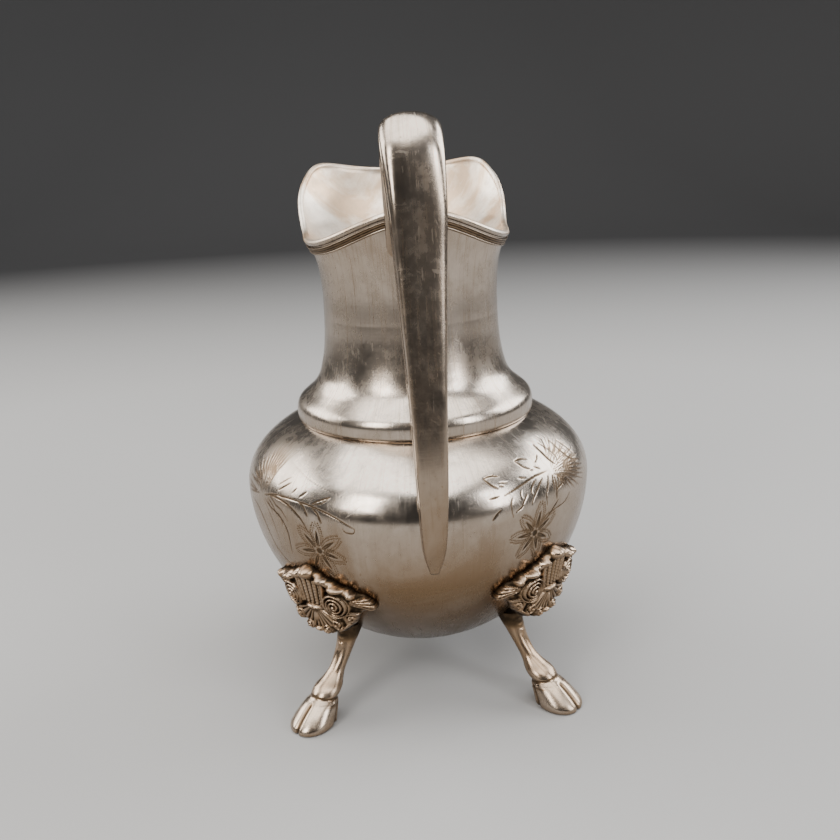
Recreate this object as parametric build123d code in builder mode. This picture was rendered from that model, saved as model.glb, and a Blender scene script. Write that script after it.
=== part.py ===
"""A footed cream jug in plated silver: a spun bulb, a necked spout, a hollow handle and four hoof legs.

Millimetres, +Z up. The jug is drawn round the Z axis with the handle at -Y and the spout at +Y,
and the finished pieces then move along Y so that the origin is under the middle of the whole jug.
"""

import os

from build123d import *

# The bulb: two spun bowls that meet at the widest line
BODY_RADIUS = 42.5
EQUATOR_Z = 51.3
BODY_WALL = 1.0
SHOULDER_RISE, SHOULDER_POWER = 20.2, 2.14
BOWL_DROP, BOWL_POWER = 43.7, 1.9
FLOOR_RADIUS = 15.0
FLOOR_KICK = 1.0
SHOULDER_HOLE_RADIUS = 25.0

# The neck: a collar that sits on the shoulder, a narrow waist and a flared lip
COLLAR_RADIUS = 29.0
COLLAR_FOOT_Z, COLLAR_TOP_Z = 67.2, 70.2
WAIST_RADIUS, WAIST_Z = 20.9, 90.0
NECK_WALL = 1.0
# Round sections of the mouth: height, radius, and how far the centre has moved towards the spout
MOUTH_SECTIONS = (
    (WAIST_Z, WAIST_RADIUS, 0.0),
    (97.0, 20.9, 0.0),
    (103.0, 21.5, 0.1),
    (106.5, 22.6, 0.6),
    (109.5, 24.6, 2.0),
    (112.0, 26.2, 3.4),
    (117.0, 28.3, 5.3),
    (122.0, 29.6, 6.6),
    (128.0, 31.0, 7.9),
)
# The rim seen from the side: high at the handle, low at the flanks, highest at the spout's shoulders
RIM_WAVE = (
    (-27.0, 120.5),
    (-20.0, 112.7),
    (-12.0, 109.3),
    (-2.0, 108.8),
    (7.0, 110.5),
    (15.0, 115.5),
    (23.0, 122.0),
    (30.5, 125.7),
    (40.0, 122.8),
)
ABOVE_ALL_Z = 140.0
MOULDING_RISE = 0.7
MOULDING_TOP_DROP, MOULDING_FOOT_DROP = 1.3, 3.6

# The handle, seen from the side: its outer line, the seam between its two shells, and its inner line
HANDLE_OUTER = (
    (-21.2, 119.0),
    (-25.2, 128.0),
    (-31.0, 134.0),
    (-37.2, 130.0),
    (-39.9, 120.0),
    (-40.9, 107.0),
    (-43.3, 88.0),
    (-46.5, 64.0),
    (-45.2, 51.0),
    (-41.9, 41.4),
)
HANDLE_SEAM = (
    (-21.2, 111.5),
    (-26.8, 122.0),
    (-31.0, 130.8),
    (-35.3, 127.4),
    (-37.5, 118.0),
    (-38.6, 106.0),
    (-41.2, 88.0),
    (-44.6, 64.0),
    (-43.2, 51.0),
    (-40.9, 42.0),
)
HANDLE_INNER = (
    (-21.2, 104.0),
    (-28.0, 118.0),
    (-31.2, 127.2),
    (-33.9, 123.5),
    (-35.1, 115.0),
    (-36.4, 104.0),
    (-38.9, 88.0),
    (-42.6, 64.0),
    (-41.3, 51.0),
    (-39.6, 42.6),
)
# Half of the handle's width at a height: broad at the crown, a point where it meets the bulb
HANDLE_HALF_WIDTHS = (
    (6.1, 131.0),
    (5.7, 113.0),
    (4.9, 94.0),
    (3.9, 74.0),
    (3.0, 53.0),
    (1.6, 44.5),
    (1.1, 41.0),
)
HANDLE_CROWN_Z = 135.0
HANDLE_WALL = 0.8

# The legs: four, each a hoof, a fetlock and a thin shank that leans in to the bulb
LEG_AZIMUTHS = {"rear_left": 227.0, "rear_right": 313.0, "front_right": 47.0, "front_left": 133.0}
# Hoof sections from the sole up: height, distance from the jug's axis, half length, half width
HOOF_SECTIONS = (
    (0.0, 42.7, 5.0, 4.3),
    (1.2, 42.9, 5.6, 4.9),
    (3.2, 41.4, 4.9, 4.6),
    (5.2, 39.4, 3.9, 3.9),
)
# Sections of the fetlock and shank, from the coronet up to the bulb
SHANK_SECTIONS = (
    (5.2, 39.0, 3.2, 3.2),
    (7.4, 37.0, 3.3, 3.2),
    (10.0, 34.0, 2.1, 1.9),
    (13.5, 31.4, 2.0, 2.1),
    (17.5, 29.2, 2.8, 2.8),
    (21.0, 27.0, 3.6, 3.6),
)
HOOF_TOE_RADIUS = 48.4
HOOF_SPLIT_WIDTH, HOOF_SPLIT_DEPTH = 0.5, 1.2

# The knee ornaments: a winged mask that stands off the bulb above each leg, hollow behind its foot
MASK_FOOT_RADIUS, MASK_FOOT_Z = 38.4, 20.0
MASK_TOP_RADIUS, MASK_TOP_Z = 42.4, 41.0
MASK_THICKNESS = 2.2
SOLDER_GAP = 0.05
# Right half of the outline: distance sideways from the middle, and height
CARTOUCHE_HALF = (
    (0.0, 40.6),
    (2.3, 39.7),
    (5.0, 38.0),
    (10.7, 36.3),
    (15.6, 34.2),
    (16.6, 31.9),
    (12.5, 29.9),
    (8.6, 26.9),
    (4.4, 23.2),
)
VOLUTE_SIDE, VOLUTE_Z, VOLUTE_RADIUS, VOLUTE_RISE = 5.4, 30.0, 3.2, 1.0
KNOBS = ((2.2, 38.6, 1.5), (7.2, 35.8, 1.4))
RIDGE_COUNT, RIDGE_PITCH, RIDGE_WIDTH, RIDGE_RISE = 3, 1.5, 0.7, 0.5
RIDGE_FOOT_Z, RIDGE_TOP_Z = 28.0, 37.0


def height_below(radius, swell=0.0):
    """Height of the bulb's lower bowl at a radius, swollen by some amount."""
    share = radius / (BODY_RADIUS + swell)
    return EQUATOR_Z - (BOWL_DROP + swell) * (1 - share**BOWL_POWER) ** (1 / BOWL_POWER)


def height_above(radius, swell=0.0):
    """Height of the bulb's shoulder at a radius, swollen by some amount."""
    share = radius / (BODY_RADIUS + swell)
    return EQUATOR_Z + (SHOULDER_RISE + swell) * (1 - share**SHOULDER_POWER) ** (1 / SHOULDER_POWER)


def mask_radius(z):
    """Distance from the axis of a knee ornament's face at a height."""
    share = (z - MASK_FOOT_Z) / (MASK_TOP_Z - MASK_FOOT_Z)
    return MASK_FOOT_RADIUS + share * (MASK_TOP_RADIUS - MASK_FOOT_RADIUS)


def bowl_points(edge_radius, swell):
    """Points down the bowl's curve from the equator to a radius near the bottom."""
    outer = BODY_RADIUS + swell
    radii = [outer - (outer - edge_radius) * step * step for step in (0, 0.15, 0.35, 0.6, 0.8, 1)]
    return [(radius, height_below(radius, swell)) for radius in radii]


def shoulder_points(edge_radius, swell):
    """Points up the shoulder's curve from the equator to a radius near the neck."""
    outer = BODY_RADIUS + swell
    radii = [outer - (outer - edge_radius) * step * step for step in (0, 0.2, 0.45, 0.7, 1)]
    return [(radius, height_above(radius, swell)) for radius in radii]


def bulb_solid(swell):
    """The whole bulb as a filled solid, swollen evenly: it trims what is soldered to the outside."""
    bottom = bowl_points(FLOOR_RADIUS, swell)
    top = shoulder_points(SHOULDER_HOLE_RADIUS, swell)
    with BuildPart() as bulb:
        with BuildSketch(Plane.XZ):
            with BuildLine():
                Spline(bottom, tangents=((0, -1), (-1, -0.4)))
                Spline(top, tangents=((0, 1), (-1, 0.3)))
                Polyline(bottom[-1], (0, bottom[-1][1]), (0, top[-1][1]), top[-1])
            make_face()
        revolve(axis=Axis.Z)
    return bulb.part


def mouth_loft(swell, mode):
    """The mouth above the waist as a filled loft of round sections, swollen evenly."""
    rings = []
    for z, radius, forward in MOUTH_SECTIONS:
        with BuildSketch(Plane((0, forward, z))) as ring:
            Circle(radius + swell)
        rings.append(ring.sketch)
    loft(rings, mode=mode)


def collar_revolve(swell, mode):
    """The collar and the cove above it, up to the waist, as a filled turned shape."""
    with BuildSketch(Plane.XZ) as profile:
        with BuildLine():
            rise = Line((COLLAR_RADIUS + swell, COLLAR_FOOT_Z), (COLLAR_RADIUS + swell, COLLAR_TOP_Z))
            nose = Spline(rise @ 1, (27.9 + swell, 72.1 + swell / 2), tangents=((0, 1), (-1, 0.6)))
            cove = Spline(
                nose @ 1,
                (24.4 + swell, 75.2),
                (22.0 + swell, 80.5),
                (WAIST_RADIUS + swell, WAIST_Z),
                tangents=((-1, 0.6), (0, 1)),
            )
            Polyline(cove @ 1, (0, WAIST_Z), (0, COLLAR_FOOT_Z), rise @ 0)
        make_face()
    revolve(profile.sketch, axis=Axis.Z, mode=mode)


def above_rim(drop):
    """Everything above the rim's wave lowered by some amount, as a sketch seen from the side."""
    wave = [(y, z - drop) for y, z in RIM_WAVE]
    with BuildSketch(Plane.YZ) as region:
        with BuildLine():
            Spline(wave)
            Polyline(wave[-1], (wave[-1][0], ABOVE_ALL_Z), (wave[0][0], ABOVE_ALL_Z), wave[0])
        make_face()
    return region.sketch


# Lower bowl: from the equator down to a small flat floor with a raised middle
with BuildPart() as body_lower_bowl:
    outside = bowl_points(FLOOR_RADIUS, 0.0)
    inside = bowl_points(FLOOR_RADIUS, -BODY_WALL)
    with BuildSketch(Plane.XZ):
        with BuildLine():
            Spline(outside, tangents=((0, -1), (-1, -0.4)))
            Polyline(
                outside[-1],
                (0, outside[-1][1] + FLOOR_KICK),
                (0, inside[-1][1] + FLOOR_KICK),
                inside[-1],
            )
            Spline(inside, tangents=((0, -1), (-1, -0.4)))
            Line(inside[0], outside[0])
        make_face()
    revolve(axis=Axis.Z)
body_lower_bowl.part.label = "body_lower_bowl"

# Shoulder: from the equator up to the hole under the collar
with BuildPart() as body_shoulder:
    outside = shoulder_points(SHOULDER_HOLE_RADIUS, 0.0)
    inside = shoulder_points(SHOULDER_HOLE_RADIUS, -BODY_WALL)
    with BuildSketch(Plane.XZ):
        with BuildLine():
            Spline(outside, tangents=((0, 1), (-1, 0.3)))
            Line(outside[-1], inside[-1])
            Spline(inside, tangents=((0, 1), (-1, 0.3)))
            Line(inside[0], outside[0])
        make_face()
    revolve(axis=Axis.Z)
body_shoulder.part.label = "body_shoulder"

# Neck: collar, waist and spouted mouth in one thin wall, with the rim's wave cut from the side
with BuildPart() as neck:
    collar_revolve(0.0, Mode.ADD)
    mouth_loft(0.0, Mode.ADD)
    collar_revolve(-NECK_WALL, Mode.SUBTRACT)
    mouth_loft(-NECK_WALL, Mode.SUBTRACT)
    extrude(above_rim(0.0), amount=BODY_RADIUS, both=True, mode=Mode.SUBTRACT)
neck.part.label = "neck"

# Rim moulding: a flat reeded strip that follows the wave just below the lip
with BuildPart() as rim_moulding:
    mouth_loft(MOULDING_RISE, Mode.ADD)
    mouth_loft(0.0, Mode.SUBTRACT)
    extrude(above_rim(MOULDING_FOOT_DROP), amount=BODY_RADIUS, both=True, mode=Mode.INTERSECT)
    extrude(above_rim(MOULDING_TOP_DROP), amount=BODY_RADIUS, both=True, mode=Mode.SUBTRACT)
rim_moulding.part.label = "rim_moulding"


def handle_side(outer, inner):
    """A stretch of the handle between two of its long lines, as a sketch seen from the side."""
    with BuildSketch(Plane.YZ) as side:
        with BuildLine():
            Spline(outer)
            Spline(inner)
            Line(outer[0], inner[0])
            Line(outer[-1], inner[-1])
        make_face()
    return side.sketch


def towards_seam(line):
    """A long line of the handle moved in by the wall, and ended short of the handle's tip."""
    moved = []
    for point, seam in zip(line[:-1], HANDLE_SEAM):
        inwards = (Vector(*seam) - Vector(*point)).normalized()
        moved.append(Vector(*point) + HANDLE_WALL * inwards)
    return moved


def handle_front(inset):
    """The handle's outline seen from behind, narrowed by some amount on each side."""
    right = [(half - inset, z) for half, z in HANDLE_HALF_WIDTHS]
    left = [(-x, z) for x, z in right]
    with BuildSketch(Plane.XZ) as front:
        with BuildLine():
            Spline(right)
            Spline(left)
            Line(right[-1], left[-1])
            ThreePointArc(right[0], (0, HANDLE_CROWN_Z), left[0])
        make_face()
    return front.sketch


def handle_cavity():
    """The hollow inside the handle's two shells, as a solid."""
    side = handle_side(towards_seam(HANDLE_OUTER), towards_seam(HANDLE_INNER))
    with BuildPart() as cavity:
        extrude(side, amount=BODY_RADIUS, both=True)
        extrude(handle_front(HANDLE_WALL), amount=2 * BODY_RADIUS, mode=Mode.INTERSECT)
    return cavity.part


def handle_shell(name, outer, inner):
    """One half of the hollow handle, cut to the neck's wall above and to the bulb below."""
    cavity = handle_cavity()
    with BuildPart() as shell:
        extrude(handle_side(outer, inner), amount=BODY_RADIUS, both=True)
        extrude(handle_front(0.0), amount=2 * BODY_RADIUS, mode=Mode.INTERSECT)
        add(cavity, mode=Mode.SUBTRACT)
        mouth_loft(SOLDER_GAP, Mode.SUBTRACT)
        add(rim_moulding.part, mode=Mode.SUBTRACT)
        add(bulb_solid(SOLDER_GAP), mode=Mode.SUBTRACT)
    shell.part.label = name
    return shell.part


handle_outer_shell = handle_shell("handle_outer_shell", HANDLE_OUTER, HANDLE_SEAM)
handle_inner_shell = handle_shell("handle_inner_shell", HANDLE_SEAM, HANDLE_INNER)


def leg_ring(azimuth, section):
    """One oval section of a leg, its length pointing away from the jug's axis."""
    z, radius, half_length, half_width = section
    away = Vector(1, 0, 0).rotate(Axis.Z, azimuth)
    with BuildSketch(Plane(radius * away + Vector(0, 0, z), x_dir=away)) as ring:
        Ellipse(half_length, half_width)
    return ring.sketch


def leg(place, azimuth):
    """One cast leg: a cloven hoof, a fetlock above the coronet's step, and a shank up to the bulb."""
    with BuildPart() as cast_leg:
        loft([leg_ring(azimuth, section) for section in HOOF_SECTIONS])
        loft([leg_ring(azimuth, section) for section in SHANK_SECTIONS])
        add(bulb_solid(SOLDER_GAP), mode=Mode.SUBTRACT)
        away = Vector(1, 0, 0).rotate(Axis.Z, azimuth)
        with BuildSketch(Plane(HOOF_TOE_RADIUS * away, x_dir=away)):
            Rectangle(2 * HOOF_SPLIT_DEPTH, HOOF_SPLIT_WIDTH)
        extrude(amount=HOOF_SECTIONS[-1][0], mode=Mode.SUBTRACT)
    cast_leg.part.label = f"leg_{place}"
    return cast_leg.part


def facing_plane(azimuth):
    """An upright plane through the jug's axis that faces outwards, with its Y up."""
    outwards = Vector(1, 0, 0).rotate(Axis.Z, azimuth)
    return Plane((0, 0, 0), x_dir=Vector(0, 1, 0).rotate(Axis.Z, azimuth), z_dir=outwards)


def mask_shell():
    """The ring of wall that every knee ornament is cut from, as a turned solid."""
    with BuildPart() as ring:
        with BuildSketch(Plane.XZ):
            with BuildLine():
                Polyline(
                    (MASK_FOOT_RADIUS, MASK_FOOT_Z),
                    (MASK_TOP_RADIUS, MASK_TOP_Z),
                    (MASK_TOP_RADIUS - MASK_THICKNESS, MASK_TOP_Z),
                    (MASK_FOOT_RADIUS - MASK_THICKNESS, MASK_FOOT_Z),
                    close=True,
                )
            make_face()
        revolve(axis=Axis.Z)
    return ring.part


def knee_ornament(place, azimuth):
    """One cast ornament: a winged mask with a ribbed middle, two volutes and four knobs."""
    facing = facing_plane(azimuth)
    right = [(side, z) for side, z in CARTOUCHE_HALF]
    left = [(-side, z) for side, z in CARTOUCHE_HALF]
    with BuildPart() as ornament:
        with BuildSketch(facing):
            with BuildLine():
                Spline(right)
                Spline(left)
                Line(right[-1], left[-1])
            make_face()
        extrude(amount=2 * BODY_RADIUS)
        add(mask_shell(), mode=Mode.INTERSECT)
        with BuildSketch(facing.offset(mask_radius(VOLUTE_Z) + VOLUTE_RISE)):
            with Locations((VOLUTE_SIDE, VOLUTE_Z), (-VOLUTE_SIDE, VOLUTE_Z)):
                Circle(VOLUTE_RADIUS)
        extrude(amount=-VOLUTE_RISE - MASK_THICKNESS)
        with BuildSketch(facing.offset(mask_radius(RIDGE_TOP_Z) + RIDGE_RISE)):
            with Locations((0, (RIDGE_FOOT_Z + RIDGE_TOP_Z) / 2)):
                with GridLocations(RIDGE_PITCH, 1, RIDGE_COUNT, 1):
                    Rectangle(RIDGE_WIDTH, RIDGE_TOP_Z - RIDGE_FOOT_Z)
        extrude(amount=-RIDGE_RISE - MASK_THICKNESS)
        for side, z, radius in KNOBS:
            depth = ((mask_radius(z) - radius / 2) ** 2 - side**2) ** 0.5
            with Locations(*(facing.from_local_coords((x, z, depth)) for x in (side, -side))):
                Sphere(radius)
        add(bulb_solid(SOLDER_GAP), mode=Mode.SUBTRACT)
    ornament.part.label = f"knee_ornament_{place}"
    return ornament.part


legs = [leg(place, azimuth) for place, azimuth in LEG_AZIMUTHS.items()]
knee_ornaments = [knee_ornament(place, azimuth) for place, azimuth in LEG_AZIMUTHS.items()]


def export_all(pieces):
    """Centres the pieces on the jug's bounding box along Y and writes one file for each."""
    os.makedirs("parts", exist_ok=True)
    front = max(piece.bounding_box().max.Y for piece in pieces)
    back = min(piece.bounding_box().min.Y for piece in pieces)
    centred = Location((0, -(front + back) / 2, 0))
    for piece in pieces:
        export_step(piece.moved(centred), f"parts/{piece.label}.step")


export_all(
    [
        body_lower_bowl.part,
        body_shoulder.part,
        neck.part,
        rim_moulding.part,
        handle_outer_shell,
        handle_inner_shell,
        *legs,
        *knee_ornaments,
    ]
)
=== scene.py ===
"""Looks of a footed, silver-plated cream jug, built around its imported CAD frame.

Shapes are worked out in millimetres round the jug's own axis, with the azimuth 0 at the handle (-Y)
and growing towards +X, and go into Blender in metres in the row frame.
"""

import math

import bpy
import numpy as np
from mathutils import Matrix, Vector, kdtree


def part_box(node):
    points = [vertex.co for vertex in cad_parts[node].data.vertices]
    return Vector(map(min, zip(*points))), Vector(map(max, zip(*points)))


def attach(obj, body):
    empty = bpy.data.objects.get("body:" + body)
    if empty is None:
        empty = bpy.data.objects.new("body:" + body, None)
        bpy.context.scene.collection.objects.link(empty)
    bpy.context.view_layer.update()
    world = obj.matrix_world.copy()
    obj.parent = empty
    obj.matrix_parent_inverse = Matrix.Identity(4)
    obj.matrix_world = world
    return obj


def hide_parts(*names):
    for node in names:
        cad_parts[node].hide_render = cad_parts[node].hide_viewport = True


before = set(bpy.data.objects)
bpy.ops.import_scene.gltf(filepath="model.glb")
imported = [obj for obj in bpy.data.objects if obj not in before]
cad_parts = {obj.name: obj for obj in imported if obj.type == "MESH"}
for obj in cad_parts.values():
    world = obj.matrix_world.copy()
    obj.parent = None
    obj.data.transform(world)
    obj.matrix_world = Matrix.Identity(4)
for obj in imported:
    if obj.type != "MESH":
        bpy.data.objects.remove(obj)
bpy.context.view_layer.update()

MM = 0.001
BODY = "root"

# Bulb, as in the CAD model
BODY_RADIUS, EQUATOR_Z, BODY_WALL = 42.5, 51.3, 1.0
SHOULDER_RISE, SHOULDER_POWER = 20.2, 2.14
BOWL_DROP, BOWL_POWER = 43.7, 1.9
FLOOR_RADIUS, FLOOR_KICK, SHOULDER_HOLE_RADIUS = 15.0, 1.0, 25.0

AXIS_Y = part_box("body_lower_bowl")[1].y / MM - BODY_RADIUS


# ---------------- mesh helpers


def smooth_step(low, high, value):
    share = np.clip((np.asarray(value, float) - low) / (high - low), 0, 1)
    return share * share * (3 - 2 * share)


def through(points, count):
    """A smooth line of so many points through a few given ones (Catmull-Rom)."""
    points = np.asarray(points, float)
    before = points[:1] * 2 - points[1:2]
    after = points[-1:] * 2 - points[-2:-1]
    held = np.concatenate([before, points, after])
    steps = np.linspace(0, len(points) - 1, count)
    start = np.minimum(steps.astype(int), len(points) - 2)
    share = (steps - start)[:, None]
    a, b, c, d = (held[start + k] for k in range(4))
    square, cube = 2 * a - 5 * b + 4 * c - d, 3 * b - a - 3 * c + d
    return 0.5 * (2 * b + (c - a) * share + square * share**2 + cube * share**3)


def evenly(line, step):
    """A line's points spaced evenly along it, about a step apart."""
    line = np.asarray(line, float)
    along = np.concatenate([[0], np.cumsum(np.linalg.norm(np.diff(line, axis=0), axis=1))])
    count = max(2, int(round(along[-1] / step)) + 1)
    wanted = np.linspace(0, along[-1], count)
    return np.stack([np.interp(wanted, along, line[:, k]) for k in range(line.shape[1])], -1)


def softened(values, reach):
    """A height field blurred over so many cells each way."""
    offsets = np.arange(-3 * reach, 3 * reach + 1)
    weights = np.exp(-0.5 * (offsets / reach) ** 2)
    weights /= weights.sum()
    for axis in (0, 1):
        pad = [(3 * reach, 3 * reach) if k == axis else (0, 0) for k in (0, 1)]
        held = np.pad(values, pad, mode="edge")
        values = np.apply_along_axis(np.convolve, axis, held, weights, mode="valid")
    return values


def grid_faces(rows, columns):
    """Quads between rows of points, closing round the columns."""
    r, c = np.meshgrid(np.arange(rows - 1), np.arange(columns), indexing="ij")
    here, above, after = r * columns, (r + 1) * columns, (c + 1) % columns
    return np.stack([here + c, here + after, above + after, above + c], -1).reshape(-1, 4)


def strip_faces(lengths, columns):
    """Quads between the rows of each strip in turn, with none from one strip to the next."""
    first = np.cumsum([0, *lengths[:-1]])
    strips = zip(first, lengths)
    return np.concatenate([grid_faces(rows, columns) + start * columns for start, rows in strips])


def make_piece(name, points, faces, nodes, material, attributes=None):
    """A shaded mesh piece from points in millimetres round the jug's axis, riding on the body."""
    mesh = bpy.data.meshes.new(name)
    points = np.asarray(points, float) * MM
    points[:, 1] += AXIS_Y * MM
    quads = [tuple(int(i) for i in face) for face in faces]
    mesh.from_pydata([tuple(p) for p in points], [], quads)
    mesh.polygons.foreach_set("use_smooth", np.ones(len(mesh.polygons), bool))
    for key, values in (attributes or {}).items():
        layer = mesh.attributes.new(key, "FLOAT", "POINT")
        layer.data.foreach_set("value", np.asarray(values, np.float32))
    mesh.materials.append(material)
    mesh.update()
    piece = bpy.data.objects.new(name, mesh)
    bpy.context.scene.collection.objects.link(piece)
    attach(piece, BODY)
    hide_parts(*nodes)
    return piece


def round_points(radius, azimuth, z):
    """Points at a radius and azimuth (radians from the handle) and height."""
    return np.stack([radius * np.sin(azimuth), -radius * np.cos(azimuth), z + 0 * azimuth], -1)


# ---------------- materials


class Nodes:
    """A few words for wiring a node material."""

    def __init__(self, name):
        self.material = bpy.data.materials.new(name)
        self.material.use_nodes = True
        self.tree = self.material.node_tree
        self.shader = self.tree.nodes["Principled BSDF"]

    def new(self, kind, inputs=None, **settings):
        node = self.tree.nodes.new(kind)
        for key, value in settings.items():
            setattr(node, key, value)
        for key, value in (inputs or {}).items():
            if isinstance(value, bpy.types.NodeSocket):
                self.tree.links.new(value, node.inputs[key])
            else:
                node.inputs[key].default_value = value
        return node

    def link(self, output, key):
        self.tree.links.new(output, self.shader.inputs[key])

    def math(self, operation, a, b=0.0):
        return self.new("ShaderNodeMath", {0: a, 1: b}, operation=operation).outputs[0]

    def noise(self, vector, scale, detail=4.0, roughness=0.55, distortion=0.0):
        inputs = {"Vector": vector, "Scale": scale, "Detail": detail}
        inputs.update({"Roughness": roughness, "Distortion": distortion})
        return self.new("ShaderNodeTexNoise", inputs).outputs["Fac"]

    def ramp(self, value, low, high, bottom=0.0, top=1.0):
        inputs = {"Value": value, "From Min": low, "From Max": high, "To Min": bottom, "To Max": top}
        return self.new("ShaderNodeMapRange", inputs, clamp=True).outputs[0]

    def mix(self, share, a, b):
        node = self.new("ShaderNodeMix", data_type="RGBA")
        for key, value in (("Factor", share), (6, a), (7, b)):
            if isinstance(value, bpy.types.NodeSocket):
                self.tree.links.new(value, node.inputs[key])
            else:
                node.inputs[key].default_value = value
        return node.outputs[2]

    def stretched(self, scale):
        """Object coordinates, with each axis scaled."""
        place = self.new("ShaderNodeTexCoord").outputs["Object"]
        return self.new("ShaderNodeVectorMath", {0: place, 1: scale}, operation="MULTIPLY").outputs[0]

    def turned(self, round_scale, up_scale):
        """Coordinates round the jug's axis and up it, for marks that follow the lathe or run upwards."""
        place = self.new("ShaderNodeTexCoord").outputs["Object"]
        parts = self.new("ShaderNodeSeparateXYZ", {0: place}).outputs
        y = self.math("SUBTRACT", parts[1], AXIS_Y * MM)
        angle = self.math("ARCTAN2", parts[0], y)
        sine = self.math("MULTIPLY", self.math("SINE", angle), round_scale)
        cosine = self.math("MULTIPLY", self.math("COSINE", angle), round_scale)
        up = self.math("MULTIPLY", parts[2], up_scale)
        return self.new("ShaderNodeCombineXYZ", {0: sine, 1: cosine, 2: up}).outputs[0]


SILVER_LIGHT = (0.64, 0.575, 0.505, 1)
SILVER_DULL = (0.38, 0.325, 0.27, 1)
# The tarnish colours are the plate's own tarnish, and also serve as painted shade on undersides, in
# recesses and gaps of the relief, and on the lower handle.
TARNISH_AND_SHADE = (0.20, 0.125, 0.065, 1)
TARNISH_GOLD = (0.40, 0.255, 0.14, 1)
DEEP_TARNISH_AND_SHADE = (0.03, 0.021, 0.013, 1)
SATIN_LIGHT = (0.90, 0.81, 0.70, 1)
SATIN_STAIN = (0.60, 0.42, 0.27, 1)


def aged_silver(
    name, rough, warm, dull=0.6, streaks=0.3, tint=0.0, shadowed=0.75, low=0.0, cut=False, relief=False
):
    """Old silver plate: cloudy polish, fine scratches, tarnish in cuts and recesses, and painted shade
    underneath and in some recesses.

    The undersides are darkened far more than the metal's tarnish would be, as painted shade that makes
    up for the pale floor they reflect.
    """
    m = Nodes(name)
    plain = m.stretched((1, 1, 1))
    broad = m.noise(plain, 42.0, 5.0, 0.62, 0.8)
    fine = m.noise(plain, 380.0, 6.0, 0.68)
    specks = m.noise(plain, 1300.0, 2.0, 0.5)
    upright = m.noise(m.turned(55.0, 70.0), 1.0, 5.0, 0.7, 0.3)
    ringed = m.noise(m.turned(1.5, 2400.0), 1.0, 3.0, 0.6)
    clouds = m.ramp(broad, 0.38, 0.66)
    colour = m.mix(m.math("MULTIPLY", clouds, dull), SILVER_LIGHT, SILVER_DULL)
    up = m.new("ShaderNodeSeparateXYZ", {0: plain}).outputs[2]
    patches = m.ramp(broad, 0.3, 0.7, tint * 0.7, tint * 1.3)
    gold = m.math("MULTIPLY", patches, m.ramp(up, 0.004, 0.013, 0.6, 1.0))
    colour = m.mix(gold, colour, TARNISH_GOLD)
    colour = m.mix(m.ramp(fine, 0.47, 0.76, 0.0, 0.5), colour, SILVER_DULL)
    colour = m.mix(m.math("MULTIPLY", m.ramp(upright, 0.50, 0.74), warm), colour, TARNISH_AND_SHADE)
    colour = m.mix(m.ramp(specks, 0.69, 0.78, 0.0, 0.6), colour, TARNISH_AND_SHADE)
    normal = m.new("ShaderNodeNewGeometry").outputs["Normal"]
    facing = m.new("ShaderNodeSeparateXYZ", {0: normal}).outputs[2]
    cloudy = m.ramp(broad, 0.25, 0.6, 0.7, 1.0)
    # Painted shade: faces that turn downwards are darkened by up to shadowed, first towards brown and
    # the steepest towards near black, so the undersides don't look as bright as the pale floor they
    # reflect.
    under = m.math("MULTIPLY", m.ramp(facing, 0.55, -0.35, 0.0, shadowed), cloudy)
    colour = m.mix(under, colour, TARNISH_AND_SHADE)
    colour = m.mix(m.ramp(facing, -0.25, -0.85, 0.0, shadowed * 0.6), colour, DEEP_TARNISH_AND_SHADE)
    # Painted shade: with low set, surfaces below about 105 mm are darkened, so the lower handle doesn't
    # look as bright as the pale floor it reflects.
    colour = m.mix(m.math("MULTIPLY", m.ramp(up, 0.105, 0.06, 0.0, low), cloudy), colour, TARNISH_AND_SHADE)
    roughness = m.ramp(broad, 0.3, 0.72, rough * 0.7, rough * 1.5)
    roughness = m.math("ADD", roughness, m.ramp(fine, 0.45, 0.8, 0, 0.12))
    roughness = m.math("ADD", roughness, m.ramp(upright, 0.5, 0.78, 0.0, 0.1))
    height = m.math("ADD", m.math("MULTIPLY", fine, 0.5), m.math("MULTIPLY", ringed, streaks))
    height = m.math("ADD", height, m.math("MULTIPLY", broad, 2.2))
    if relief or cut:
        # The depth attribute darkens engraved cuts with tarnish; on the moulding, legs and ornaments it
        # also carries painted shade.
        depth = m.new("ShaderNodeAttribute", attribute_name="depth").outputs["Fac"]
        broken = m.ramp(m.noise(plain, 700.0, 3.0), 0.2, 0.6, 0.65, 1.0)
        dark = m.math("MULTIPLY", m.ramp(depth, 0.3, 0.95), broken)
        colour = m.mix(m.ramp(depth, 0.02, 0.5, 0.0, 0.85), colour, TARNISH_AND_SHADE)
        colour = m.mix(dark, colour, DEEP_TARNISH_AND_SHADE)
        roughness = m.math("ADD", roughness, m.math("MULTIPLY", dark, 0.35))
    if cut:
        stain = m.new("ShaderNodeAttribute", attribute_name="stain").outputs["Fac"]
        colour = m.mix(m.math("MULTIPLY", m.ramp(stain, 0.1, 0.5, 0.0, 0.5), clouds), colour, TARNISH_AND_SHADE)
    scratch_a = m.noise(m.stretched((90, 2600, 500)), 1.0, 1.0, 0.4, 0.6)
    scratch_b = m.noise(m.stretched((2400, 160, 300)), 1.0, 1.0, 0.4, 0.6)
    scratches = m.math("MAXIMUM", m.ramp(scratch_a, 0.70, 0.76), m.ramp(scratch_b, 0.70, 0.76))
    roughness = m.math("ADD", roughness, m.math("MULTIPLY", scratches, 0.08))
    height = m.math("SUBTRACT", height, m.math("MULTIPLY", scratches, 0.07))
    bump = m.new("ShaderNodeBump", {"Strength": 0.12, "Distance": 0.0002, "Height": height})
    m.link(colour, "Base Color")
    m.link(roughness, "Roughness")
    m.link(bump.outputs[0], "Normal")
    m.shader.inputs["Metallic"].default_value = 1.0
    return m.material


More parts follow.
